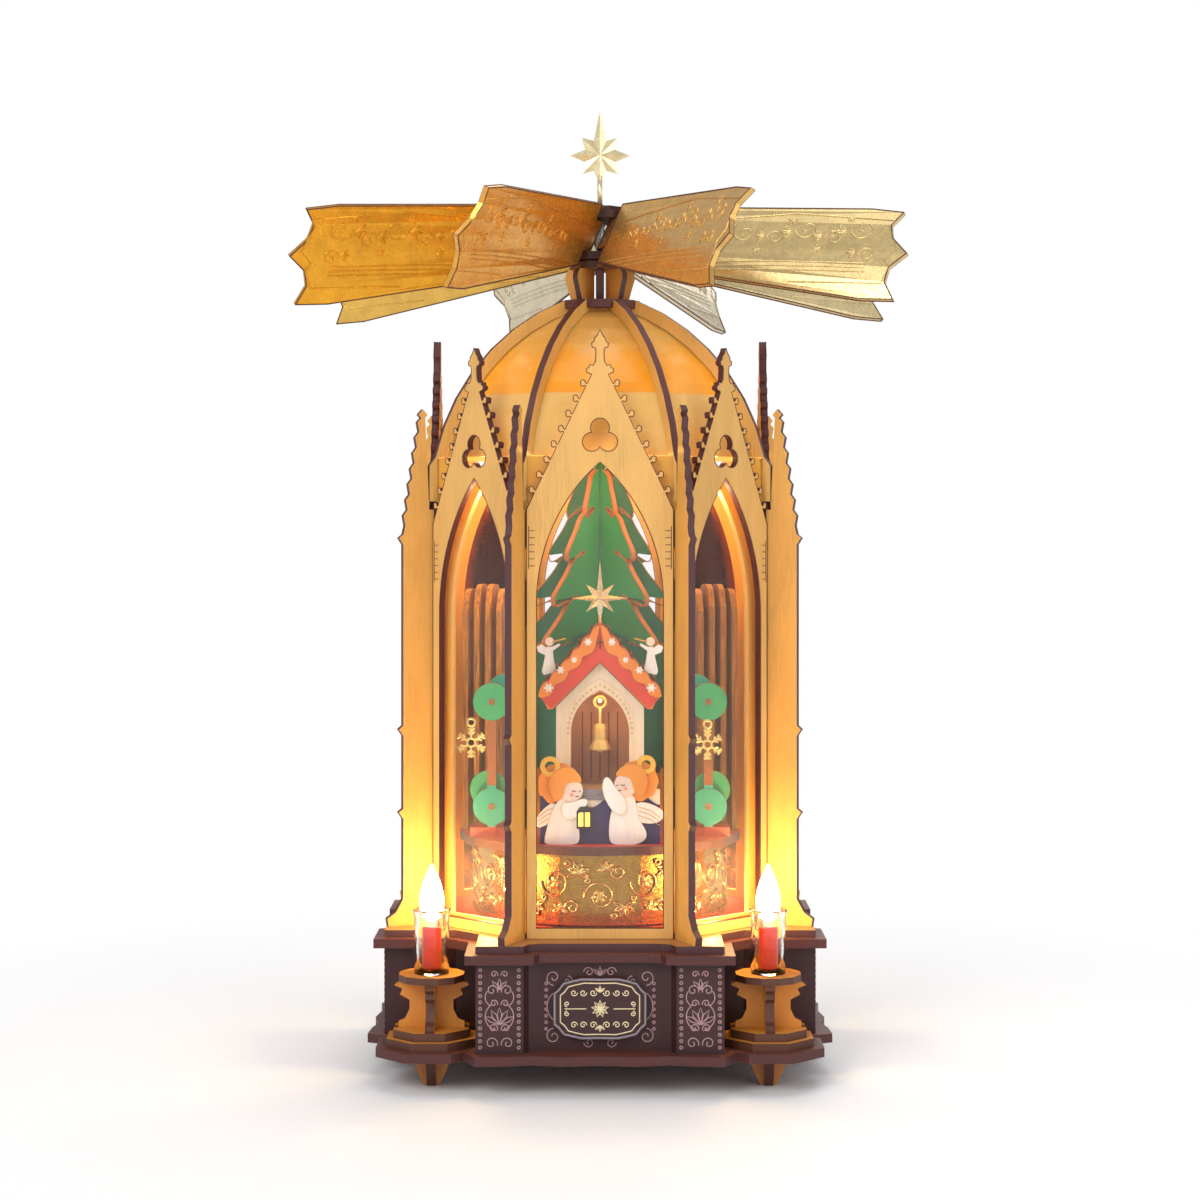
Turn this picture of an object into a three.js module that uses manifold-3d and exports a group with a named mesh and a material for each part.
// A wooden Christmas pyramid. A carved base carries an eight sided gothic tower with a ribbed dome.
// A carousel turns inside the tower, and a crown of eight vanes turns above the dome on the same shaft.
// Lengths are millimetres, +Z is up, the front faces -Y, and angles count from the front towards +X.
import * as THREE from 'three';
import { mergeVertices } from 'three/addons/utils/BufferGeometryUtils.js';
import Module from 'manifold-3d';

const wasm = await Module();
wasm.setup();

// Gaps between pieces
const FIT = 0.3;
const RUN = 0.6;

// Wood and film thicknesses
const BOARD = 3;
const STEP_BOARD = 2.5;
const WALL_BOARD = 2.4;
const FLOOR_BOARD = 1.2;
const FILM = 0.5;
const MIRROR = 0.8;

// Base
const FOOT_HEIGHT = 10.5;
const FOOT_TOP = 14.5;
const FOOT_BOTTOM = 5;
const BASE_HEIGHT = 29;
const BASE_FACE = 72;
const BASE_CORNER = 62.2;
const PILASTER_OUTER = 40;
const PILASTER_INNER = 24.6;
const PANEL_DEPTH = 5.3;
const CORNICE_REACH = 3.4;
const PLINTH_REACH = 5;
const PLAQUE_WIDTH = 29.7;
const PLAQUE_HEIGHT = 20.1;

// Candles at the four corners
const CANDLE_RADIUS = 78;
const PAD_WIDTH = 28.8;
const UPPER_PAD_WIDTH = 24.5;
const PAD_BOARD = 2.75;
const BRACKET_HEIGHT = 15.2;
const SAUCER_WIDTH = 22;
const SAUCER_BOARD = 2.3;
const TUBE_WIDTH = 11.5;
const TUBE_HEIGHT = 21;
const FLAME_WIDTH = 8.1;
const FLAME_HEIGHT = 15;

// Tower
const FACE = 58;
const CORNER = 26;
const WALL_GAP = 2;
const STILE = 3.25;
const SILL = 3.6;
const SPRING_HEIGHT = 110;
const ARCH_RISE = 46;
const SHOULDER_HEIGHT = 140.5;
const GABLE_RISE = 44.5;
const FINIAL_HALF = 2.6;
const FINIAL_HEIGHT = 14.3;
const CORNER_DROP = 5;
const CROCKETS = 7;
const CROCKET_REACH = 1.9;
const TREFOIL_RADIUS = 3;
const BUTTRESS_REACH = 9.6;
const BUTTRESS_HEIGHT = 130.5;
const SPIRE_RISE = 44;
const FILM_HEIGHT = 156.8;
const SLAB_GAP = 2.8;
const LINING_BOARD = 1.8;
const LINING_STILE = 4;

// Dome and neck
const DOME_RISE = 55;
const DOME_SWELL = 9;
const RIB_DEPTH = 4.2;
const RIB_FOOT = 15;
const COLLAR_RADIUS = 14.2;
const COLLAR_BOARD = 2.9;
const NECK_HEIGHT = 11.1;
const NECK_FOOT = 10;
const NECK_SWELL = 12.2;
const NECK_CAP = 2.4;

// Turning shaft and its drive
const SHAFT_RADIUS = 1.5;
const BEARING_HEIGHT = 6.5;
const GEAR_MODULE = 1.25;
const GEAR_TEETH = 36;
const PINION_TEETH = 12;
const GEAR_BOARD = 3.5;
const GEAR_DROP = 4;
const BACKLASH = 0.35;
const SPINDLE_RADIUS = 2;
const KEY_WIDTH = 22;
const KEY_HEIGHT = 7.5;
const MOVEMENT_HEIGHT = 19.5;
const MOVEMENT_LENGTH = 36;
const MOVEMENT_WIDTH = 30;
const FLANGE_LENGTH = 44;
const FLANGE_WIDTH = 34;
const FLANGE_BOARD = 1.5;
const BARREL_RADIUS = 11;
const BARREL_RISE = 5;

// Lights
const BATTERY_LENGTH = 62;
const BATTERY_WIDTH = 36;
const BATTERY_HEIGHT = 16;
const SWITCH_LENGTH = 6;
const SWITCH_WIDTH = 4;
const SWITCH_TRAVEL = 3;

// Vanes and hub
const HUB_RADIUS = 10.5;
const HUB_BOARD = 2.7;
const HUB_GAP = 11.7;
const VANES = 8;
const VANE_ROOT = 11.2;
const VANE_TIP = 111.6;
const VANE_ROOT_CHORD = 22.5;
const VANE_TIP_CHORD = 36.8;
const VANE_PITCH = 65;
const VANE_DROOP = 11.7;
const VANE_CAMBER = 2.4;
const VANE_BOARD = 1.6;
const VANE_CUSP = 6;
const STAR_HEIGHT = 34.5;
const STAR_REACH = 9.6;

// Carousel
const DRUM_RADIUS = 44;
const DRUM_HEIGHT = 23.8;
const DISC_RADIUS = 49;
const TREE_HEIGHT = 128;
const TREE_WIDTH = 60;
const TREE_TIERS = 7;
const TREE_FOOT = 0.16;
const CHAPEL_SETBACK = 7.2;
const CHAPEL_WIDTH = 29.6;
const CHAPEL_DEPTH = 18;
const CHAPEL_WALL_HEIGHT = 27;
const MOUND_HEIGHT = 18.2;
const MOUND_SETBACK = 8.8;
const MOUND_WIDTH = 40;
const ROOF_HEIGHT = 13;
const BELL_HEIGHT = 9;
const BELL_WIDTH = 7.2;
const PIN_RADIUS = 0.7;
const ANGEL_BOARD = 2.4;
const BALL_RADIUS = 6.4;
const BUSH_HEIGHT = 49;
const SLAT_HEIGHT = 86;
const SLAT_WIDTH = 16;
const SLAT_BOARD = 2;
const SLAT_SPACING = 3.9;
const SLAT_TURN = 12;

// Heights that follow from the sizes
const plinthFloor = FOOT_HEIGHT;
const baseFloor = plinthFloor + BOARD;
const corniceFloor = baseFloor + BASE_HEIGHT;
const stepFloor = corniceFloor + BOARD;
const towerFloor = stepFloor + STEP_BOARD;
const roomFloor = towerFloor + FLOOR_BOARD;
const filmTop = roomFloor + FILM_HEIGHT;
const springLine = towerFloor + SPRING_HEIGHT;
const shoulder = towerFloor + SHOULDER_HEIGHT;
const gableTop = shoulder + GABLE_RISE;
const domeFloor = filmTop + FIT;
const slabInnerTop = domeFloor - RIB_FOOT - SLAB_GAP;
const domeTop = domeFloor + DOME_RISE;
const neckTop = domeTop + NECK_HEIGHT + NECK_CAP;
const hubFloor = neckTop + RUN;
const hubInside = hubFloor + HUB_BOARD;
const hubCeiling = hubInside + HUB_GAP;
const shaftTop = hubCeiling + BOARD + HUB_BOARD / 2;
const shaftFoot = baseFloor + BEARING_HEIGHT - 4;
const gearTop = corniceFloor - GEAR_DROP;
const gearFloor = gearTop - GEAR_BOARD;
const drumFloor = roomFloor + RUN + FIT;
const discFloor = drumFloor + DRUM_HEIGHT;
const stage = discFloor + BOARD;
const spindleY = GEAR_MODULE * (GEAR_TEETH + PINION_TEETH) / 2 + BACKLASH / 2;
const moundFront = DISC_RADIUS - MOUND_SETBACK;
const chapelFront = moundFront - CHAPEL_SETBACK;

const EIGHTH = Math.PI / 4;
const QUARTER = Math.PI / 2;
const bisector = EIGHTH / 2;
const cornerAngle = Math.atan2(CORNER, FACE);
const cornerRadius = Math.hypot(CORNER, FACE);
const diagonalFace = (FACE + CORNER) / Math.SQRT2;
const diagonalHalf = (FACE - CORNER) / Math.SQRT2;

// Joining and cutting closed solids
function toSolid(geometry) {
  const bare = new THREE.BufferGeometry();
  bare.setAttribute('position', geometry.getAttribute('position'));
  bare.setIndex(geometry.getIndex());
  const merged = mergeVertices(bare, 1e-4);
  return new wasm.Manifold(new wasm.Mesh({
    numProp: 3,
    vertProperties: Float32Array.from(merged.getAttribute('position').array),
    triVerts: Uint32Array.from(merged.getIndex().array),
  }));
}

function toGeometry(solid) {
  const mesh = solid.getMesh();
  const geometry = new THREE.BufferGeometry();
  geometry.setAttribute('position', new THREE.BufferAttribute(Float32Array.from(mesh.vertProperties), 3));
  geometry.setIndex(Array.from(mesh.triVerts));
  return geometry;
}

function join(...geometries) {
  const solids = geometries.map(toSolid);
  return toGeometry(solids.reduce((whole, next) => whole.add(next)));
}

function cut(geometry, ...tools) {
  const solids = tools.map(toSolid);
  return toGeometry(solids.reduce((whole, next) => whole.subtract(next), toSolid(geometry)));
}

// Outlines
function outline(points) {
  return new THREE.Shape(points.map(([x, y]) => new THREE.Vector2(x, y)));
}

function mirrored(edge) {
  const left = edge.filter(([x]) => x > 1e-6).map(([x, y]) => [-x, y]).reverse();
  return [...edge, ...left];
}

function circle(radius, sides, x = 0, y = 0) {
  const points = [];
  for (let i = 0; i < sides; i += 1) {
    const angle = (i + 0.5) * 2 * Math.PI / sides;
    points.push([x + radius * Math.cos(angle), y + radius * Math.sin(angle)]);
  }
  return outline(points);
}

function octagonPad(width) {
  return circle(width / 2 / Math.cos(bisector), 8);
}

// The tower's plan, drawn in by an inset from the outer faces of its walls
function towerPlan(inset) {
  const near = CORNER - inset * Math.tan(bisector);
  const far = FACE - inset;
  const points = [];
  for (let side = 0; side < 4; side += 1) {
    points.push(quarterTurn([near, -far], side));
    points.push(quarterTurn([far, -near], side));
  }
  return outline(points);
}

function quarterTurn([x, y], turns) {
  const angle = turns * QUARTER;
  return [x * Math.cos(angle) - y * Math.sin(angle), x * Math.sin(angle) + y * Math.cos(angle)];
}

// The base's plan: on each side two pilasters stand before a sunk panel, with scooped corners between them
function basePlan(reach) {
  const outer = PILASTER_OUTER + reach;
  const inner = PILASTER_INNER - reach;
  const face = BASE_FACE + reach;
  const corner = (BASE_CORNER + reach) * Math.SQRT2 - outer;
  const half = [];
  for (let step = 0; step <= 2; step += 1) {
    const angle = step * QUARTER / 2;
    half.push([inner - PANEL_DEPTH * (1 - Math.sin(angle)), face - PANEL_DEPTH * Math.cos(angle)]);
  }
  half.push([outer, face], [outer, corner]);
  const side = [...half.map(([x, y]) => [-x, -y]).reverse(), ...half.map(([x, y]) => [x, -y])];
  const points = [];
  for (let turn = 0; turn < 4; turn += 1) {
    points.push(...side.map((point) => quarterTurn(point, turn)));
  }
  return outline(points);
}

// A pointed arch standing on a sill
function gothicArch(half, sill, spring, rise, steps = 5) {
  const radius = (rise * rise + half * half) / (2 * half);
  const sweep = Math.asin(rise / radius);
  const edge = [[half, sill]];
  for (let step = 0; step <= steps; step += 1) {
    const angle = sweep * step / steps;
    edge.push([half - radius + radius * Math.cos(angle), spring + radius * Math.sin(angle)]);
  }
  edge[edge.length - 1] = [0, spring + rise];
  return outline(mirrored(edge));
}

// Leaves along a sloping edge, each a small hooked bud
function crockets(from, to, count, reach) {
  const run = [to[0] - from[0], to[1] - from[1]];
  const length = Math.hypot(run[0], run[1]);
  const out = [run[1] / length * reach, -run[0] / length * reach];
  const points = [];
  for (let leaf = 0; leaf < count; leaf += 1) {
    for (const [along, lift] of [[0.12, 0], [0.72, 1]]) {
      const t = (leaf + along) / count;
      points.push([from[0] + run[0] * t + out[0] * lift, from[1] + run[1] * t + out[1] * lift]);
    }
  }
  return points;
}

// Solids from outlines
function extrude(shape, depth) {
  return new THREE.ExtrudeGeometry(shape, { depth, bevelEnabled: false, curveSegments: 8 });
}

function lying(shape, depth, z) {
  return extrude(shape, depth).translate(0, 0, z);
}

function standing(shape, depth, y = 0) {
  return extrude(shape, depth).rotateX(QUARTER).translate(0, y + depth / 2, 0);
}

function pierced(shape, ...holes) {
  shape.holes.push(...holes);
  return shape;
}

function rod(radius, from, to, sides = 12) {
  return lying(circle(radius, sides), to - from, from);
}

function box(width, depth, height, x, y, z) {
  return new THREE.BoxGeometry(width, depth, height).translate(x, y, z + height / 2);
}

function turnedOnAxis(profile, steps) {
  const points = profile.map(([radius, z]) => new THREE.Vector2(radius, z));
  return facingOut(new THREE.LatheGeometry(points, steps).rotateX(QUARTER));
}

function outward(geometry, angle) {
  return geometry.rotateZ(angle - QUARTER);
}

// Base
function bottomPlate() {
  const half = [[0, -1], [PILASTER_OUTER * 0.3, 0.4], [PILASTER_OUTER * 0.55, -1.6], [PILASTER_OUTER * 0.75, 0]];
  half.push([PILASTER_OUTER, 0.6], [PILASTER_OUTER + 3, -6]);
  const edge = [...half.slice(1).map(([x, y]) => [-x, y]).reverse(), ...half];
  const points = [];
  for (let turn = 0; turn < 4; turn += 1) {
    points.push(...edge.map(([x, y]) => quarterTurn([x, -BASE_FACE - PLINTH_REACH - y], turn)));
  }
  const pads = cornerAngles.map((angle) => {
    const pad = octagonPad(PAD_WIDTH + 2 * CORNICE_REACH);
    return lying(pad, BOARD, plinthFloor).translate(...cornerSpot(angle));
  });
  const bearing = rod(SHAFT_RADIUS + 3.5, baseFloor - 1, baseFloor + BEARING_HEIGHT);
  const plate = join(lying(outline(points), BOARD, plinthFloor), ...pads, bearing);
  const socket = rod(SHAFT_RADIUS + FIT, shaftFoot - FIT, baseFloor + BEARING_HEIGHT + 1);
  const keyHole = rod(SPINDLE_RADIUS + RUN, plinthFloor - 1, baseFloor + 1).translate(0, spindleY, 0);
  const slotLength = SWITCH_LENGTH + SWITCH_TRAVEL + 2 * FIT;
  const slot = box(slotLength, SWITCH_WIDTH + 2 * FIT, BOARD + 2, 0, 0, plinthFloor - 1);
  slot.translate(switchX - SWITCH_TRAVEL / 2, switchY, 0);
  return cut(plate, socket, keyHole, slot);
}

const cornerAngles = [1, 3, 5, 7].map((odd) => odd * EIGHTH);
const switchX = -BATTERY_LENGTH / 2 - 14;
const switchY = -BATTERY_WIDTH / 2 - 10;

function cornerSpot(angle) {
  return [CANDLE_RADIUS * Math.sin(angle), -CANDLE_RADIUS * Math.cos(angle), 0];
}

function foot() {
  const waist = FOOT_BOTTOM / 2 + 1.6;
  const edge = [[FOOT_BOTTOM / 2, 0], [waist, FOOT_HEIGHT * 0.3], [FOOT_TOP / 2 - 1.2, FOOT_HEIGHT * 0.72]];
  edge.push([FOOT_TOP / 2, FOOT_HEIGHT]);
  const slab = standing(outline(mirrored(edge)), BOARD);
  return join(slab, slab.clone().rotateZ(QUARTER));
}

function baseHousing() {
  return lying(pierced(basePlan(0), basePlan(-BOARD)), BASE_HEIGHT, baseFloor);
}

function cornicePlate() {
  return lying(pierced(basePlan(CORNICE_REACH), circle(SHAFT_RADIUS + RUN, 12)), BOARD, corniceFloor);
}

function plaque() {
  const w = PLAQUE_WIDTH / 2;
  const h = PLAQUE_HEIGHT / 2;
  const corner = [[w - 2.6, h - 4.2], [w - 3.6, h - 1.4], [w - 6, h - 1.2], [w - 8, h]];
  const upper = [[w, 0], [w, h - 5], ...corner, [0, h - 0.6]];
  const lower = upper.slice(1).map(([x, y]) => [x, -y]).reverse();
  const shape = outline(mirrored([...lower, ...upper]));
  const middle = baseFloor + BASE_HEIGHT / 2 - 0.6;
  return standing(shape, WALL_BOARD, PANEL_DEPTH - BASE_FACE - WALL_BOARD / 2).translate(0, 0, middle);
}

// Tower
function buttress() {
  const inner = -(WALL_GAP - WALL_BOARD / 4) + FIT / 3;
  const step = WALL_BOARD / 4;
  const top = towerFloor + BUTTRESS_HEIGHT;
  const points = [[inner, towerFloor - 1], [BUTTRESS_REACH + 5, towerFloor - 1], [BUTTRESS_REACH + 5.6, towerFloor + 2.6]];
  points.push([BUTTRESS_REACH + 2.6, towerFloor + 4.6], [BUTTRESS_REACH, towerFloor + 9]);
  for (const share of [0.29, 0.505, 1]) {
    const z = towerFloor + BUTTRESS_HEIGHT * share;
    points.push([BUTTRESS_REACH, z - 1.8], [BUTTRESS_REACH + 1.5, z + 0.4], [BUTTRESS_REACH, z + 1.6]);
  }
  const spireFoot = [BUTTRESS_REACH - 0.6, top + 4];
  const spireTop = [step + 2.6, top + SPIRE_RISE - 3];
  points.push(spireFoot, ...crockets(spireFoot, spireTop, CROCKETS, 1.1), spireTop);
  points.push([step + 3.6, top + SPIRE_RISE - 1.8], [step + 2, top + SPIRE_RISE], [step + 0.4, top + SPIRE_RISE - 1.8]);
  points.push([step + 1.2, top + SPIRE_RISE - 3], [step, slabInnerTop + 6], [step, slabInnerTop]);
  points.push([inner, slabInnerTop]);
  return standing(outline(points), WALL_BOARD).rotateZ(bisector - QUARTER);
}

function towerFrame() {
  const plate = lying(pierced(basePlan(0), circle(SHAFT_RADIUS + RUN, 12)), STEP_BOARD, stepFloor);
  const slabs = [];
  for (let side = 0; side < 4; side += 1) {
    const left = buttress().translate(CORNER, -FACE, 0);
    const right = buttress().rotateZ(EIGHTH).translate(FACE, -CORNER, 0);
    slabs.push(left.rotateZ(side * QUARTER), right.rotateZ(side * QUARTER));
  }
  return join(plate, ...slabs);
}

function wall(half, drop) {
  const top = gableTop - drop;
  const slope = [[half, shoulder - drop], [FINIAL_HALF, top]];
  const leafStart = [half + (FINIAL_HALF - half) * 0.16, slope[0][1] + GABLE_RISE * 0.16];
  const edge = [[half, towerFloor], slope[0], ...crockets(leafStart, slope[1], CROCKETS, CROCKET_REACH)];
  edge.push([FINIAL_HALF, top], [FINIAL_HALF + 1.8, top + 0.6], [FINIAL_HALF + 1.8, top + 2.6]);
  edge.push([FINIAL_HALF - 0.7, top + 3.4], [1.4, top + FINIAL_HEIGHT * 0.55]);
  edge.push([2.8, top + FINIAL_HEIGHT * 0.68], [2.4, top + FINIAL_HEIGHT * 0.84], [0, top + FINIAL_HEIGHT]);
  const opening = gothicArch(half - STILE, towerFloor + SILL, springLine - drop, ARCH_RISE);
  const plate = standing(pierced(outline(mirrored(edge)), opening), WALL_BOARD);
  const middle = shoulder - drop + GABLE_RISE * 0.53;
  const lobes = [0, 1, 2].map((lobe) => {
    const angle = QUARTER + lobe * 2 * Math.PI / 3;
    const reach = TREFOIL_RADIUS * 1.12;
    const round = circle(TREFOIL_RADIUS, 6, reach * Math.cos(angle), middle + reach * Math.sin(angle));
    return standing(round, WALL_BOARD + 2);
  });
  return cut(plate, ...lobes);
}

function mirrorPane() {
  const half = diagonalHalf - WALL_GAP - STILE / 2;
  return standing(gothicArch(half, roomFloor, springLine - CORNER_DROP, ARCH_RISE), MIRROR);
}

function windowFilm() {
  const inset = WALL_BOARD + FIT;
  return lying(pierced(towerPlan(inset), towerPlan(inset + FILM)), FILM_HEIGHT, roomFloor);
}

// The floor inside the tower carries a second pointed arch behind each diagonal window, just clear of the disc
function towerFloorPlate() {
  const plate = lying(pierced(towerPlan(WALL_BOARD + FIT), circle(SHAFT_RADIUS + RUN, 12)), FLOOR_BOARD, towerFloor);
  const half = diagonalHalf - WALL_GAP - STILE;
  const depth = Math.sqrt((DISC_RADIUS + 2 * RUN) ** 2 - half ** 2) + LINING_BOARD / 2;
  const spring = springLine - CORNER_DROP;
  const strip = pierced(
    gothicArch(half + LINING_STILE, towerFloor, spring, ARCH_RISE + LINING_STILE + 2),
    gothicArch(half, towerFloor + SILL, spring, ARCH_RISE),
  );
  const linings = cornerAngles.map((angle) => standing(strip, LINING_BOARD, -depth).rotateZ(angle));
  return join(plate, ...linings);
}

// Dome: an arc from the foot of a rib to the collar, drawn in by an inset
const domeFoot = cornerRadius - WALL_GAP;
const domeRun = domeFoot - COLLAR_RADIUS + 0.4;
const domeChord = Math.hypot(domeRun, DOME_RISE);
const domeArcRadius = (domeChord * domeChord / 4 + DOME_SWELL * DOME_SWELL) / (2 * DOME_SWELL);
const domeCentre = [
  domeFoot - domeRun / 2 - DOME_RISE / domeChord * (domeArcRadius - DOME_SWELL),
  domeFloor + DOME_RISE / 2 - domeRun / domeChord * (domeArcRadius - DOME_SWELL),
];

function domeArc(inset, top, steps) {
  const radius = domeArcRadius - inset;
  const from = Math.asin((domeFloor - domeCentre[1]) / radius);
  const to = Math.asin((top - domeCentre[1]) / radius);
  const points = [];
  for (let step = 0; step <= steps; step += 1) {
    const angle = from + (to - from) * step / steps;
    points.push([domeCentre[0] + radius * Math.cos(angle), domeCentre[1] + radius * Math.sin(angle)]);
  }
  return points;
}

function domeFrame() {
  const footOuter = cornerRadius + WALL_BOARD / 4 - FIT;
  const footInner = cornerRadius - (WALL_BOARD + FIT) / Math.cos(bisector) + FIT;
  const footFloor = domeFloor - RIB_FOOT;
  const points = [[footInner, footFloor], [footOuter, footFloor], [footOuter, domeFloor - 3]];
  points.push(...domeArc(0, domeTop, 7), ...domeArc(RIB_DEPTH, domeTop - COLLAR_BOARD / 2, 7).reverse());
  points.push([footInner, domeFloor]);
  const ribs = [];
  for (let side = 0; side < 4; side += 1) {
    for (const angle of [cornerAngle, QUARTER - cornerAngle]) {
      ribs.push(outward(standing(outline(points), WALL_BOARD), angle + side * QUARTER));
    }
  }
  const collar = rod(COLLAR_RADIUS, domeTop - COLLAR_BOARD, domeTop, 16);
  const bore = rod(SHAFT_RADIUS + RUN, domeTop - COLLAR_BOARD - 1, domeTop + 1);
  return cut(join(collar, ...ribs), bore);
}

// A thin eight sided shell just inside the ribs, its corners on the ribs' centre planes
function domeFilm() {
  const top = domeTop - COLLAR_BOARD - FIT;
  const inset = RIB_DEPTH + FIT;
  const profile = [...domeArc(inset, top, 8), ...domeArc(inset + FILM, top, 8).reverse()];
  profile.push(profile[0]);
  const shell = turnedOnAxis(profile, 8);
  const place = shell.getAttribute('position');
  for (let i = 0; i < place.count; i += 1) {
    const radius = Math.hypot(place.getX(i), place.getY(i));
    const corner = Math.round((Math.atan2(place.getX(i), -place.getY(i)) + 2 * Math.PI) / EIGHTH);
    const turn = Math.floor(corner / 2) * QUARTER;
    const angle = turn + (corner % 2 ? QUARTER - cornerAngle : cornerAngle);
    place.setXY(i, radius * Math.sin(angle), -radius * Math.cos(angle));
  }
  return shell;
}

function neckCrown() {
  const edge = [[SHAFT_RADIUS + 2.5, domeTop], [NECK_FOOT, domeTop], [NECK_SWELL - 1, domeTop + NECK_HEIGHT * 0.4]];
  edge.push([NECK_SWELL, domeTop + NECK_HEIGHT * 0.7], [NECK_SWELL - 0.3, domeTop + NECK_HEIGHT * 0.88]);
  edge.push([NECK_FOOT, neckTop - NECK_CAP / 2], [SHAFT_RADIUS + 2.5, neckTop - NECK_CAP / 2]);
  const ribs = [];
  for (let rib = 0; rib < 8; rib += 1) {
    ribs.push(outward(standing(outline(edge), WALL_BOARD), rib * EIGHTH));
  }
  const cap = lying(octagonPad(2 * NECK_FOOT), NECK_CAP, neckTop - NECK_CAP);
  const bore = rod(SHAFT_RADIUS + RUN, domeTop - 1, neckTop + 1);
  return cut(join(cap, ...ribs), bore);
}

// Candles
function candleStand() {
  const upperPad = baseFloor + PAD_BOARD;
  const bracketFloor = upperPad + PAD_BOARD;
  const saucer = bracketFloor + BRACKET_HEIGHT;
  const half = PAD_WIDTH / 2;
  const edge = [[half * 0.75, bracketFloor - 1], [half * 0.75, bracketFloor + 2], [half * 0.6, bracketFloor + 3]];
  edge.push([half * 0.5, bracketFloor + 6], [half * 0.5, bracketFloor + 9], [half * 0.72, saucer - 4.5]);
  edge.push([half * 0.66, saucer - 2.6], [half * 0.85, saucer - 1.4]);
  edge.push([half * 0.62, saucer + 1]);
  const bracket = standing(outline(mirrored(edge)), BOARD);
  return join(
    lying(octagonPad(PAD_WIDTH), PAD_BOARD, baseFloor),
    lying(octagonPad(UPPER_PAD_WIDTH), PAD_BOARD + 0.5, upperPad - 0.5),
    bracket,
    bracket.clone().rotateZ(QUARTER),
    rod(SAUCER_WIDTH / 2, saucer, saucer + SAUCER_BOARD),
  );
}

const saucerTop = baseFloor + 2 * PAD_BOARD + BRACKET_HEIGHT + SAUCER_BOARD;

function candle() {
  const rim = saucerTop + TUBE_HEIGHT;
  const tube = TUBE_WIDTH / 2;
  const flame = FLAME_WIDTH / 2;
  const profile = [[0, saucerTop], [tube, saucerTop], [tube, rim - 1.8], [tube + 0.5, rim - 1.2], [tube + 0.5, rim]];
  profile.push([flame * 0.7, rim], [flame, rim + FLAME_HEIGHT * 0.3], [flame * 0.86, rim + FLAME_HEIGHT * 0.6]);
  profile.push([flame * 0.4, rim + FLAME_HEIGHT * 0.9], [0, rim + FLAME_HEIGHT]);
  return turnedOnAxis(profile, 8);
}

// Drive
function gearOutline(teeth, phase) {
  const pitch = GEAR_MODULE * teeth / 2;
  const tooth = GEAR_MODULE * QUARTER - BACKLASH;
  const rows = [[-1.2, 0.78], [0.9, 0.24]];
  const points = [];
  for (let i = 0; i < teeth; i += 1) {
    const middle = (i + phase) * 2 * Math.PI / teeth;
    const [root, tip] = rows.map(([lift, share]) => [pitch + lift * GEAR_MODULE, share * tooth / pitch]);
    const corners = [[root[0], -root[1]], [tip[0], -tip[1]], [tip[0], tip[1]], [root[0], root[1]]];
    points.push(...corners.map(([r, a]) => [r * Math.cos(middle + a), r * Math.sin(middle + a)]));
  }
  return outline(points);
}

function mainGear() {
  const holes = [0, 1, 2, 3, 4].map((spoke) => {
    const angle = spoke * 2 * Math.PI / 5;
    const reach = GEAR_MODULE * GEAR_TEETH / 4;
    return circle(reach * 0.42, 6, reach * 1.06 * Math.cos(angle), reach * 1.06 * Math.sin(angle));
  });
  const wheel = pierced(gearOutline(GEAR_TEETH, 0.25 * (GEAR_TEETH % 4)), ...holes);
  return lying(pierced(wheel, circle(SHAFT_RADIUS + FIT, 12)), GEAR_BOARD, gearFloor);
}

function drivePinion() {
  const shape = gearOutline(PINION_TEETH, 0.25 * (PINION_TEETH % 4) + 0.5);
  shape.holes.push(circle(SPINDLE_RADIUS + FIT, 12));
  return lying(shape, GEAR_BOARD, gearFloor).rotateZ(Math.PI).translate(0, spindleY, 0);
}

function windingKey() {
  const top = plinthFloor - RUN;
  const bottom = top - KEY_HEIGHT;
  const half = KEY_WIDTH / 2;
  const edge = [[4, bottom], [half - 2.5, bottom], [half, bottom + 2.5], [half, top - 2.5], [half - 2.5, top - 0.4]];
  edge.push([4, top - 1.8], [SPINDLE_RADIUS + 1.4, top]);
  const wings = standing(outline(mirrored(edge)), BOARD);
  const spindle = rod(SPINDLE_RADIUS, top - 3, gearTop);
  return join(wings, spindle).translate(0, spindleY, 0);
}

function musicMovement() {
  const bore = rod(SPINDLE_RADIUS + RUN, baseFloor - 1, gearFloor);
  const flange = box(FLANGE_LENGTH, FLANGE_WIDTH, FLANGE_BOARD, 0, 0, baseFloor);
  const frame = box(MOVEMENT_LENGTH, MOVEMENT_WIDTH, MOVEMENT_HEIGHT - BARREL_RISE, 0, 0, baseFloor + 1);
  const barrel = rod(BARREL_RADIUS, baseFloor + 1, baseFloor + MOVEMENT_HEIGHT, 12);
  return cut(join(flange, frame, barrel), bore).translate(0, spindleY, 0);
}

function batteryBox() {
  const case3 = box(BATTERY_LENGTH, BATTERY_WIDTH, BATTERY_HEIGHT - 2, 0, 0, baseFloor);
  const lid = box(BATTERY_LENGTH - 3, BATTERY_WIDTH - 3, 3, 0, 0, baseFloor + BATTERY_HEIGHT - 3);
  return join(case3, lid).translate(0, -BATTERY_WIDTH / 2 - 12, 0);
}

function lightSwitch() {
  const flange = box(SWITCH_LENGTH + 8, SWITCH_WIDTH + 5, 1.6, 0, 0, baseFloor + FIT);
  const nub = box(SWITCH_LENGTH, SWITCH_WIDTH, BOARD + 3, 0, 0, plinthFloor - 1.2);
  return join(flange, nub).translate(switchX, switchY, 0);
}

// Vanes. One vane points to the front, its upper edge leaning towards +X.
const pitch = THREE.MathUtils.degToRad(VANE_PITCH);
const vaneHeight = (hubInside + hubCeiling) / 2;

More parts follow.
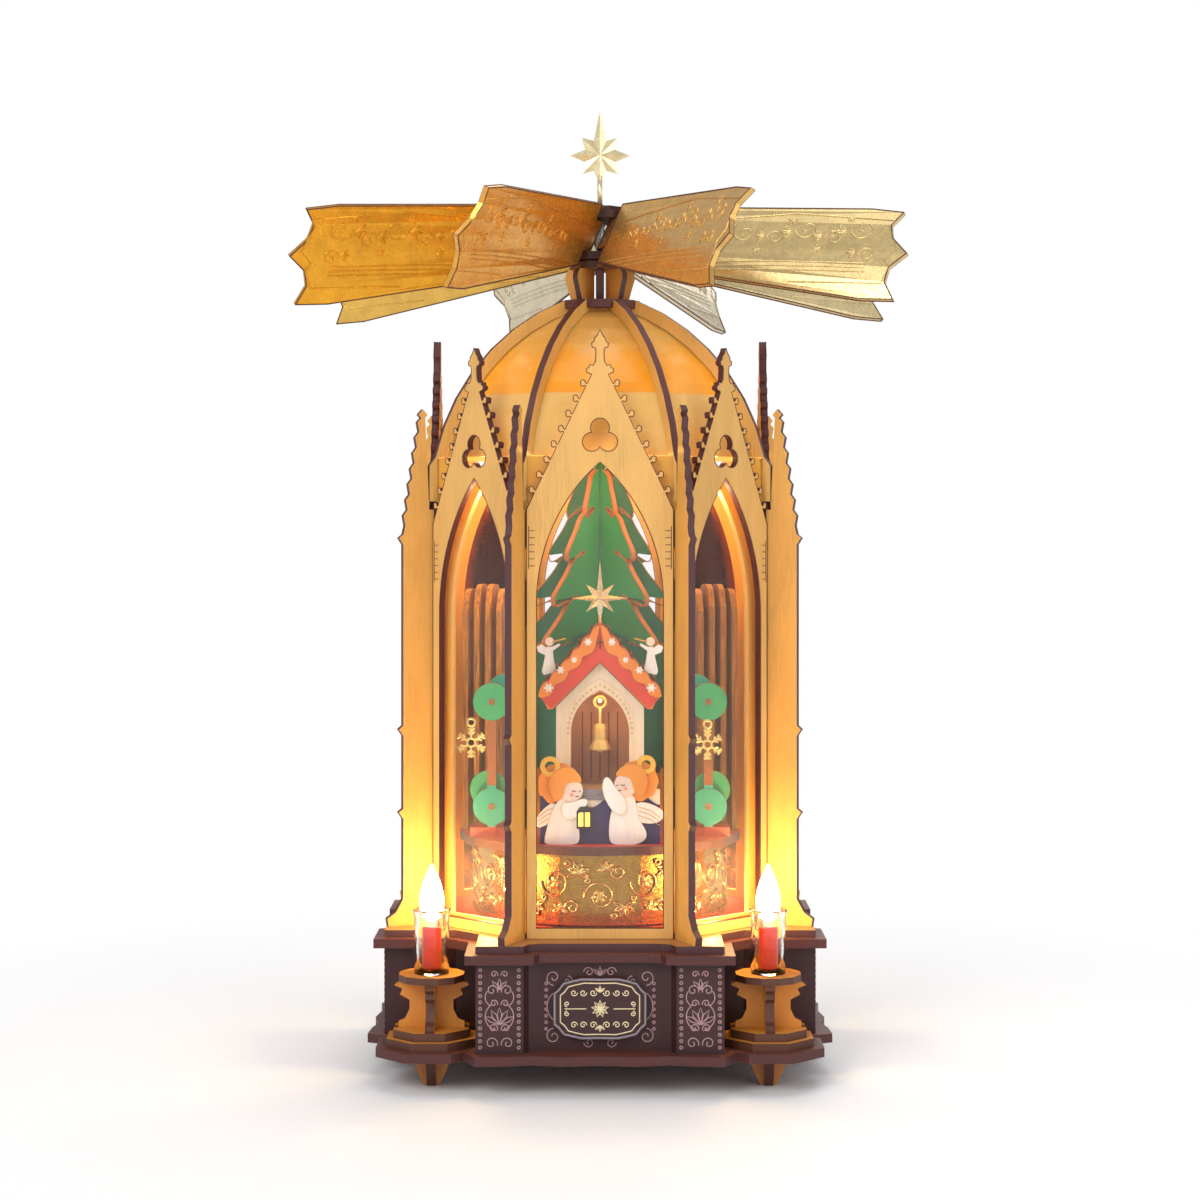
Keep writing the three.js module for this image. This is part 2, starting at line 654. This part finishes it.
function vanePoint(along, across, side) {
  const cusp = VANE_CUSP * Math.abs(Math.sin(2 * Math.PI * across / 1.84));
  const shy = 4 * across * across + 9 * Math.max(0, Math.abs(across) - 0.92) / 0.08;
  const reach = VANE_ROOT + along * (VANE_TIP - cusp - shy - VANE_ROOT);
  const share = (reach - VANE_ROOT) / (VANE_TIP - VANE_ROOT);
  const half = (VANE_ROOT_CHORD + (VANE_TIP_CHORD - VANE_ROOT_CHORD) * share) / 2;
  const lift = VANE_CAMBER * share * (1 - across * across) + side * VANE_BOARD / 2;
  const x = across * half * Math.cos(pitch) - lift * Math.sin(pitch);
  const z = across * half * Math.sin(pitch) + lift * Math.cos(pitch);
  return [x, -reach, vaneHeight - VANE_DROOP * share + z];
}

// A sheet bent in two directions, with a front face, a back face and a closed rim
function bentSheet(pointAt, columns, rows, width) {
  const positions = [];
  const faces = [];
  const at = (layer, i, j) => (layer * (columns + 1) + i) * rows.length + j;
  for (const side of [1, -1]) {
    for (let i = 0; i <= columns; i += 1) {
      rows.forEach((row) => positions.push(...pointAt(i / columns, row, side)));
    }
  }
  const quad = (a, b, c, d) => faces.push(a, b, c, a, c, d);
  for (let i = 0; i < columns; i += 1) {
    for (let j = 0; j < width; j += 1) {
      quad(at(0, i, j), at(0, i + 1, j), at(0, i + 1, j + 1), at(0, i, j + 1));
      quad(at(1, i, j), at(1, i, j + 1), at(1, i + 1, j + 1), at(1, i + 1, j));
    }
    quad(at(0, i, 0), at(1, i, 0), at(1, i + 1, 0), at(0, i + 1, 0));
    quad(at(0, i, width), at(0, i + 1, width), at(1, i + 1, width), at(1, i, width));
  }
  for (let j = 0; j < width; j += 1) {
    quad(at(0, 0, j), at(0, 0, j + 1), at(1, 0, j + 1), at(1, 0, j));
    quad(at(0, columns, j), at(1, columns, j), at(1, columns, j + 1), at(0, columns, j + 1));
  }
  const geometry = new THREE.BufferGeometry();
  geometry.setAttribute('position', new THREE.Float32BufferAttribute(positions, 3));
  geometry.setIndex(faces);
  return facingOut(geometry);
}

function vane() {
  const rows = [-1, -0.92, -0.61, -0.31, 0, 0.31, 0.61, 0.92, 1];
  const sheet = bentSheet(vanePoint, 1, rows, rows.length - 1);
  const tabHeight = (HUB_GAP - 2 * FIT - VANE_BOARD * Math.cos(pitch)) / Math.sin(pitch);
  const tab = new THREE.BoxGeometry(tabHeight, VANE_ROOT - 4.6, VANE_BOARD);
  tab.rotateY(-pitch).translate(0, -(VANE_ROOT + 5.6) / 2, vaneHeight);
  return join(sheet, tab);
}

function hubLower() {
  return lying(pierced(octagonPad(2 * HUB_RADIUS), circle(SHAFT_RADIUS + FIT, 12)), HUB_BOARD, hubFloor);
}

function hubUpper() {
  const lower = lying(octagonPad(2 * HUB_RADIUS), HUB_BOARD, hubCeiling);
  const upper = lying(octagonPad(2 * HUB_RADIUS - 5), shaftTop - hubCeiling, hubCeiling);
  return cut(join(lower, upper), rod(SHAFT_RADIUS + FIT, hubCeiling - 1, shaftTop + 1));
}

// An eight pointed star cut like a jewel, thin at its tips and thick in the middle
function star(reach, top, foot, thickness) {
  const tips = [reach, reach * 0.72, top, reach * 0.72, reach, reach * 0.72, foot, reach * 0.72];
  const positions = [0, -thickness / 2, 0, 0, thickness / 2, 0];
  for (let i = 0; i < 16; i += 1) {
    const length = i % 2 ? reach * 0.3 : tips[i / 2];
    const angle = i * EIGHTH / 2;
    for (const y of [-0.35, 0.35]) {
      positions.push(length * Math.cos(angle), y, length * Math.sin(angle));
    }
  }
  const faces = [];
  for (let i = 0; i < 16; i += 1) {
    const front = 2 + 2 * i;
    const next = 2 + 2 * ((i + 1) % 16);
    faces.push(0, front, next, 1, next + 1, front + 1);
    faces.push(front, front + 1, next + 1, front, next + 1, next);
  }
  const geometry = new THREE.BufferGeometry();
  geometry.setAttribute('position', new THREE.Float32BufferAttribute(positions, 3));
  geometry.setIndex(faces);
  return facingOut(geometry);
}

function topStar() {
  const centre = shaftTop + STAR_HEIGHT * 0.53;
  const up = STAR_HEIGHT * 0.47;
  const jewel = star(STAR_REACH, up, STAR_HEIGHT * 0.3, 4).translate(0, 0, centre);
  const stem = rod(0.9, shaftTop, centre - STAR_REACH * 0.5, 8);
  const seat = rod(SHAFT_RADIUS + 1, shaftTop, shaftTop + 1.8, 12);
  return join(jewel, stem, seat);
}

// Carousel
function drum() {
  const rim = DRUM_RADIUS + 0.6;
  const bore = SHAFT_RADIUS + FIT;
  const top = discFloor;
  const profile = [[bore, drumFloor], [rim, drumFloor], [rim, drumFloor + 1.4], [DRUM_RADIUS, drumFloor + 1.4]];
  profile.push([DRUM_RADIUS, top - 1.4], [rim, top - 1.4], [rim, top], [bore, top], [bore, drumFloor]);
  return turnedOnAxis(profile, 20);
}

function carouselDisc() {
  const points = [];
  const sides = 36;
  for (let i = 0; i < sides; i += 1) {
    const angle = i * 2 * Math.PI / sides;
    const radius = DISC_RADIUS - (i % 3 === 1 ? 0.9 : 0);
    points.push([radius * Math.cos(angle), radius * Math.sin(angle)]);
  }
  return lying(pierced(outline(points), circle(SHAFT_RADIUS + FIT, 12)), BOARD, discFloor);
}

// One half of a flat tree: drooping branch tiers with hooked tips, from the foot to the top
function treeEdge(from) {
  const rise = TREE_HEIGHT * (1 - TREE_FOOT) / TREE_TIERS;
  const edge = [];
  for (let tier = from; tier < TREE_TIERS; tier += 1) {
    const low = TREE_HEIGHT * TREE_FOOT + rise * tier;
    const reach = TREE_WIDTH / 2 * Math.min(1, (1.54 * (1 - tier / TREE_TIERS)) ** 0.62);
    edge.push([reach * 0.58, low + rise * 0.12], [reach * 0.93, low - rise * 0.14], [reach, low + rise * 0.12]);
  }
  edge.push([0, TREE_HEIGHT]);
  return edge;
}

// The fins towards the chapel start above its roof
function tree() {
  const core = SHAFT_RADIUS + 2.2;
  const fins = [];
  for (let fin = 0; fin < 8; fin += 1) {
    const towardsFront = Math.abs(fin - 4);
    const edge = treeEdge(towardsFront > 2 ? towardsFront : 0);
    const floor = edge[0][1] - 1;
    const shape = outline([[0.5, floor], [2, floor], ...edge]);
    fins.push(outward(standing(shape, WALL_BOARD).translate(0, 0, stage), fin * EIGHTH));
  }
  const trunk = rod(core, stage, stage + TREE_HEIGHT * 0.82, 12);
  const bore = rod(SHAFT_RADIUS + FIT, stage - 1, stage + TREE_HEIGHT + 1, 12);
  return cut(join(trunk, ...fins), bore);
}

const chapelFloor = stage + MOUND_HEIGHT;
const gableRise = CHAPEL_WIDTH / 2;
const pinHeight = chapelFloor + CHAPEL_WALL_HEIGHT + 1.6;
const bellY = -chapelFront + CHAPEL_DEPTH * 0.45;

function chapel() {
  const half = CHAPEL_WIDTH / 2;
  const back = CHAPEL_DEPTH - chapelFront;
  const moundDepth = moundFront + back;
  const mound = box(MOUND_WIDTH, moundDepth, MOUND_HEIGHT, 0, (back - moundFront) / 2, stage);
  const eaves = chapelFloor + CHAPEL_WALL_HEIGHT;
  const front = [[half, chapelFloor - 1], [half, eaves], [0, eaves + gableRise]];
  const house = standing(outline(mirrored(front)), CHAPEL_DEPTH, (back - chapelFront) / 2);
  const arch = gothicArch(half * 0.66, chapelFloor, chapelFloor + CHAPEL_WALL_HEIGHT * 0.82, half * 0.7, 5);
  const room = standing(arch, CHAPEL_DEPTH, (back - chapelFront) / 2 - 2);
  const pin = rod(PIN_RADIUS, 0, CHAPEL_DEPTH * 0.55 + 1, 10);
  pin.rotateX(QUARTER).translate(0, back - 1, pinHeight);
  return join(cut(join(mound, house), room), pin);
}

function chapelRoof() {
  const half = CHAPEL_WIDTH / 2;
  const eaves = chapelFloor + CHAPEL_WALL_HEIGHT;
  const under = eaves + gableRise + FIT * Math.SQRT2;
  const ridge = under + ROOF_HEIGHT;
  const lip = half + 6;
  const outer = [[lip - 3, under - half - 1.2], [lip, under - half + 5], [0, ridge]];
  const shingles = mirrored([...outer]);
  const inner = [[-half - 1, under - half - 1], [0, under], [half + 1, under - half - 1]];
  const depth = CHAPEL_DEPTH + 3;
  const tiles = standing(outline([...shingles, ...inner]), depth, CHAPEL_DEPTH / 2 - chapelFront);
  const board = [[half + 2.2, under - half - 1.2], [half + 4, under - half + 2], [0, ridge + 0.4]];
  const fascia = standing(outline([...mirrored(board), ...inner]), 2, -chapelFront - 2.4);
  const jewel = star(9.2, 12.8, 9, 3).translate(0, -chapelFront - 2.4, ridge + 8.4);
  const spike = rod(0.8, ridge - 3, ridge + 4, 8).translate(0, -chapelFront - 2.4, 0);
  return join(tiles, fascia, jewel, spike, trumpeter(1, ridge), trumpeter(-1, ridge));
}

// A small flat angel blowing a trumpet, standing on the slope of the roof
function trumpeter(side, ridge) {
  const gown = outline([[-2.6, -3], [2.4, -3], [1.2, 5], [3.6, 6.6], [3.4, 7.6], [0.8, 6.8], [-1, 6.4], [-4, 6], [-3.4, 3.4]]);
  const head = circle(1.6, 7, 0, 8.2);
  const horn = outline([[0.6, 7.6], [5, 8.4], [5.6, 9.8], [0.6, 8.6]]);
  const plates = [gown, head, horn].map((shape) => standing(shape, 1.6));
  const figure = join(...plates).scale(side, 1, 1);
  return facingOut(figure).translate(-side * 17, -chapelFront + 1, ridge - 14.6);
}

function bell() {
  const wire = 0.42;
  const ring = PIN_RADIUS + 1.3;
  const ringCentre = pinHeight - (ring - wire - PIN_RADIUS - FIT);
  const top = ringCentre - ring - 5.2;
  const half = BELL_WIDTH / 2;
  const mouth = top - BELL_HEIGHT;
  const outer = [[0, top], [half * 0.5, top - 0.3], [half * 0.62, top - 1.6], [half * 0.66, top - BELL_HEIGHT * 0.62]];
  outer.push([half, mouth + 0.5], [half, mouth]);
  const inner = [[half - 0.7, mouth], [half * 0.66 - 0.6, top - BELL_HEIGHT * 0.6], [half * 0.5, top - 1.8], [0, top - 1.4]];
  const cup = turnedOnAxis([...outer, ...inner], 8);
  const hanger = new THREE.TorusGeometry(ring, wire, 4, 10).rotateX(QUARTER).translate(0, 0, ringCentre);
  const link = rod(0.5, top - 0.6, ringCentre - ring + 0.2, 8);
  const clapper = rod(0.4, mouth - 0.4, top - 1, 8);
  const knob = new THREE.SphereGeometry(1, 8, 4).translate(0, 0, mouth - 0.2);
  return join(cup, hanger, link, clapper, knob).translate(0, bellY, 0);
}

const angelY = -moundFront - ANGEL_BOARD / 2 - FIT - 0.3;

function figure(...shapes) {
  return join(...shapes.map((shape) => standing(shape, ANGEL_BOARD, angelY))).translate(0, 0, stage);
}

function lanternAngel() {
  const gown = outline([[-19, 0.6], [-17.4, 0], [-8, 0], [-6.6, 1.2], [-8, 12], [-10, 16], [-15, 14]]);
  const wing = outline([[-14, 14], [-21, 8.6], [-20.6, 5.8], [-13, 9.6]]);
  const arm = outline([[-12, 14.6], [-6, 15.4], [-4.6, 13.8], [-5.4, 12.6], [-12, 12]]);
  const lantern = outline([[-8, 5.4], [-2.6, 5.4], [-2.6, 11.4], [-4, 13.8], [-6.6, 13.8], [-8, 11.4]]);
  return figure(gown, wing, arm, lantern, circle(6.6, 12, -13.8, 19.6), circle(3, 8, -9, 17.4));
}

function waveAngel() {
  const gown = outline([[3, 1.4], [5, 0], [13, 0], [15.8, 3], [12.2, 8.6], [11.6, 17], [5.6, 17], [3, 10]]);
  const wing = outline([[11, 12.4], [14, 13], [20.6, 10.8], [20.4, 8.4], [14, 7], [11, 8]]);
  const arm = outline([[5, 12], [1, 18.6], [1.4, 22], [3.6, 22.4], [8, 15]]);
  return figure(gown, wing, arm, circle(6.3, 12, 12.6, 21.4), circle(3, 8, 8, 19.6));
}

// Round leaves on a stem, before a stand of round topped slats that show their faces to the front
function garden(side) {
  const slats = [0, 1, 2, 3].map((slat) => {
    const tall = SLAT_HEIGHT - (slat % 3 ? 0 : 1.6);
    const edge = [[SLAT_WIDTH / 2, 0]];
    for (const angle of [0, QUARTER * 0.55, QUARTER * 0.8]) {
      edge.push([SLAT_WIDTH / 2 * Math.cos(angle), tall - SLAT_WIDTH / 2 * (1 - Math.sin(angle))]);
    }
    const plate = standing(outline(mirrored(edge)), SLAT_BOARD).rotateZ(THREE.MathUtils.degToRad(SLAT_TURN) - QUARTER);
    return plate.translate(DISC_RADIUS - 3.8 - SLAT_SPACING * slat, 2, stage);
  });
  const spot = [DISC_RADIUS - 12, -DISC_RADIUS * 0.41, stage];
  const low = BALL_RADIUS * 1.6;
  const back = WALL_BOARD + RUN;
  const leaves = [[0, low, 0], [1.2, low + 5.6, back], [0, BUSH_HEIGHT - 3, 0], [-4.6, BUSH_HEIGHT, back]];
  const discs = leaves.map(([x, z, y]) => standing(circle(BALL_RADIUS, 8, x, z), WALL_BOARD, y));
  const stem = box(BOARD, WALL_BOARD * 1.8, BUSH_HEIGHT, 0, WALL_BOARD * 0.4, 0);
  const bush = join(stem, ...discs).translate(...spot);
  const ground = box(12, 30, BOARD, DISC_RADIUS - 10.6, -5.4, stage);
  const whole = join(ground, bush, ...slats);
  return facingOut(whole.scale(side, 1, 1));
}

// Faces are turned so that they point out of the solid
function facingOut(geometry) {
  const place = geometry.getAttribute('position');
  const index = geometry.getIndex();
  const corners = [new THREE.Vector3(), new THREE.Vector3(), new THREE.Vector3()];
  let volume = 0;
  for (let i = 0; i < index.count; i += 3) {
    corners.forEach((corner, j) => corner.fromBufferAttribute(place, index.getX(i + j)));
    volume += corners[0].dot(corners[1].clone().cross(corners[2]));
  }
  if (volume < 0) {
    for (let i = 0; i < index.count; i += 3) {
      const first = index.getX(i);
      index.setX(i, index.getX(i + 1));
      index.setX(i + 1, first);
    }
  }
  return geometry;
}

// Finishes
const finish = (color, roughness, metalness) => ({ color, roughness, metalness });
const darkWood = finish('#4a2428', 0.65, 0);
const brownWood = finish('#5a3028', 0.65, 0);
const goldWood = finish('#d9b168', 0.6, 0);
const tanWood = finish('#c9883f', 0.6, 0);
const redWood = finish('#d8402a', 0.6, 0);
const gold = finish('#e8b748', 0.3, 0.9);
const steel = finish('#8c8c90', 0.35, 0.9);
const greenWood = finish('#1f8a58', 0.6, 0);
const ivory = finish('#efe6d8', 0.6, 0);
const black = finish('#2a2a2c', 0.6, 0);

const pyramid = new THREE.Group();
pyramid.name = 'christmas_pyramid';

function place(parent, name, geometry, look, angle = 0, position = [0, 0, 0]) {
  const material = new THREE.MeshStandardMaterial(look);
  const mesh = new THREE.Mesh(geometry, material);
  mesh.name = name;
  mesh.position.set(...position);
  mesh.rotation.z = angle;
  parent.add(mesh);
}

const base = new THREE.Group();
const tower = new THREE.Group();
const rotor = new THREE.Group();
pyramid.add(base, tower, rotor);

const cornerNames = ['front_right', 'back_right', 'back_left', 'front_left'];

place(base, 'bottom_plate', bottomPlate(), brownWood);
place(base, 'base_housing', baseHousing(), darkWood);
place(base, 'plaque', plaque(), darkWood);
place(base, 'cornice_plate', cornicePlate(), brownWood);
place(base, 'music_movement', musicMovement(), steel);
place(base, 'battery_box', batteryBox(), black);
place(base, 'light_switch', lightSwitch(), black);
place(base, 'winding_key', windingKey(), steel);
place(base, 'drive_pinion', drivePinion(), tanWood);
cornerNames.forEach((corner, i) => {
  const spot = cornerSpot(cornerAngles[i]);
  place(base, `foot_${corner}`, foot(), tanWood, cornerAngles[i] + EIGHTH, spot);
  place(base, `candle_stand_${corner}`, candleStand(), tanWood, 0, spot);
  place(base, `candle_${corner}`, candle(), ivory, 0, spot);
});

place(tower, 'tower_frame', towerFrame(), tanWood);
place(tower, 'tower_floor', towerFloorPlate(), tanWood);
const mainWalls = ['front', 'right', 'back', 'left'];
mainWalls.forEach((side, i) => {
  const geometry = wall(CORNER - WALL_GAP, 0).translate(0, WALL_BOARD / 2 - FACE, 0);
  place(tower, `wall_${side}`, geometry, goldWood, i * QUARTER);
});
cornerNames.forEach((corner, i) => {
  const geometry = wall(diagonalHalf - WALL_GAP, CORNER_DROP).translate(0, WALL_BOARD / 2 - diagonalFace, 0);
  place(tower, `wall_${corner}`, geometry, goldWood, cornerAngles[i]);
});
place(tower, 'window_film', windowFilm(), finish('#f3e6c0', 0.2, 0));
['mirror_back_right', 'mirror_back_left'].forEach((name, i) => {
  const inset = WALL_BOARD + FIT + FILM + FIT + MIRROR / 2;
  const geometry = mirrorPane().translate(0, inset - diagonalFace, 0);
  place(tower, name, geometry, finish('#3a2218', 0.1, 0.6), cornerAngles[i + 1]);
});
place(tower, 'dome_frame', domeFrame(), tanWood);
place(tower, 'dome_film', domeFilm(), finish('#f0bc4e', 0.3, 0));
place(tower, 'neck_crown', neckCrown(), tanWood);

place(rotor, 'shaft', rod(SHAFT_RADIUS, shaftFoot, shaftTop, 12), steel);
place(rotor, 'main_gear', mainGear(), tanWood);
place(rotor, 'drum', drum(), gold);
place(rotor, 'carousel_disc', carouselDisc(), redWood);
place(rotor, 'tree', tree(), greenWood);
place(rotor, 'chapel', chapel(), ivory);
place(rotor, 'chapel_roof', chapelRoof(), redWood);
place(rotor, 'bell', bell(), gold);
place(rotor, 'angel_with_lantern', lanternAngel(), ivory);
place(rotor, 'angel_waving', waveAngel(), ivory);
place(rotor, 'garden_right', garden(1), greenWood);
place(rotor, 'garden_left', garden(-1), greenWood);
place(rotor, 'hub_lower', hubLower(), brownWood);
place(rotor, 'hub_upper', hubUpper(), brownWood);
for (let i = 0; i < VANES; i += 1) {
  place(rotor, `vane_${i + 1}`, vane(), gold, (i + 0.5) * 2 * Math.PI / VANES);
}
place(rotor, 'star', topStar(), gold);

export default pyramid;
